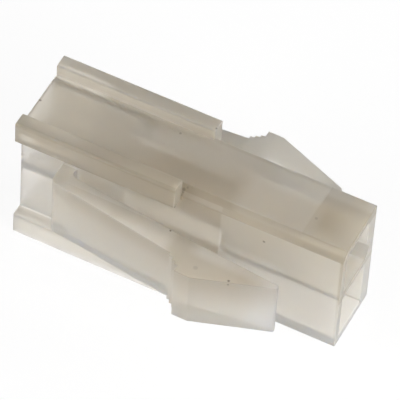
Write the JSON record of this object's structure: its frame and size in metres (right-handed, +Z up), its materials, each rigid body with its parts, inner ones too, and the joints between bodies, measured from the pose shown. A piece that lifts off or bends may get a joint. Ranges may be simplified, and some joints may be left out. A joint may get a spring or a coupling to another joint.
{
  "type": "wire to board connector housing",
  "caption": "Empty two-level nylon connector housing with corner rails as a panel stop and flexing side wings that snap behind the panel edge",
  "frame": {"origin": "middle of the housing's length and width, at the level of the lower rails' underside", "axes": "+X along the length toward the mouth, +Y to the plain side, away from the chamfered edge, +Z up toward the level with the key groove"},
  "size_m": [0.032, 0.0186, 0.0151],
  "materials": {
    "natural_nylon": "milky translucent natural nylon, smooth moulded"
  },
  "bodies": {
    "root": {"housing": "natural_nylon"}
  },
  "joints": []
}
